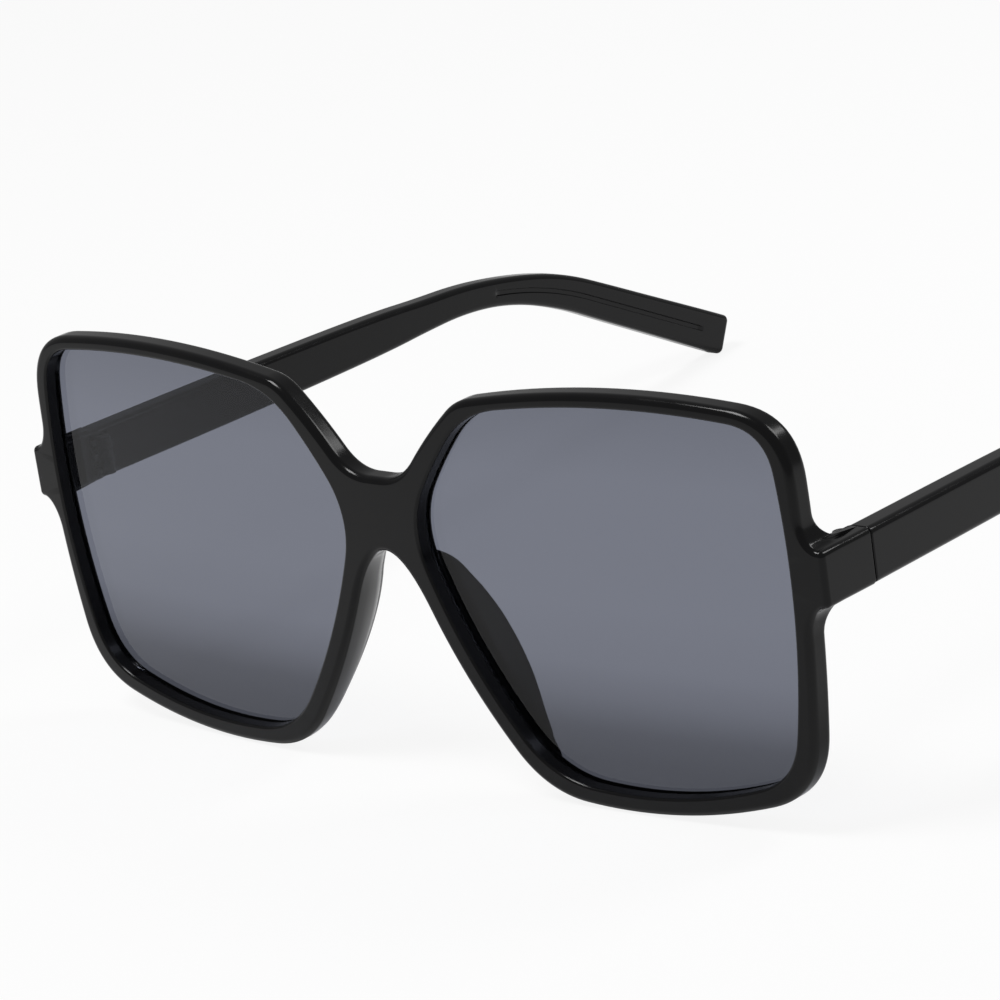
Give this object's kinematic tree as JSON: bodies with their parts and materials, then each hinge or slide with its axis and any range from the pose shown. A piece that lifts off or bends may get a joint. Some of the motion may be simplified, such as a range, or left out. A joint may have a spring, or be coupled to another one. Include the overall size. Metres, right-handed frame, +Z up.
{
  "type": "sunglasses",
  "caption": "Oversized square sunglasses: one moulded front with fixed nose pads, tinted lenses and arms that fold on small barrel hinges.",
  "frame": {"origin": "on the table under the middle of the whole object, halfway between the face of the front and the tips of the arms", "axes": "+Z up, the lenses face -Y, the arms run back along +Y, +X is the wearer's left"},
  "size_m": [0.1492, 0.1572, 0.0596],
  "materials": {
    "frame_plastic": "polished black",
    "arm_plastic": "polished black",
    "lens_tint": "neutral grey tint, a little darker at the bottom, polished",
    "hinge_metal": "nickel plated",
    "screw_metal": "plain"
  },
  "bodies": {
    "front": {"front_frame": "frame_plastic", "lens_left": "lens_tint", "lens_right": "lens_tint", "hinge_front_leaf_left": "hinge_metal", "hinge_front_leaf_right": "hinge_metal", "hinge_screw_left": "screw_metal", "hinge_screw_right": "screw_metal"},
    "arm_left": {"temple_left": "arm_plastic", "hinge_temple_leaf_left": "hinge_metal"},
    "arm_right": {"temple_right": "arm_plastic", "hinge_temple_leaf_right": "hinge_metal"}
  },
  "joints": [
    {"name": "fold_left", "type": "hinge", "parent": "front", "child": "arm_left", "pos_m": [0.0696, -0.06336, 0.036], "axis": [0, 0.0645, 0.9979], "range_deg": [0, 90]},
    {"name": "fold_right", "type": "hinge", "parent": "front", "child": "arm_right", "pos_m": [-0.0696, -0.06336, 0.036], "axis": [0, -0.0645, -0.9979], "range_deg": [0, 84]}
  ]
}
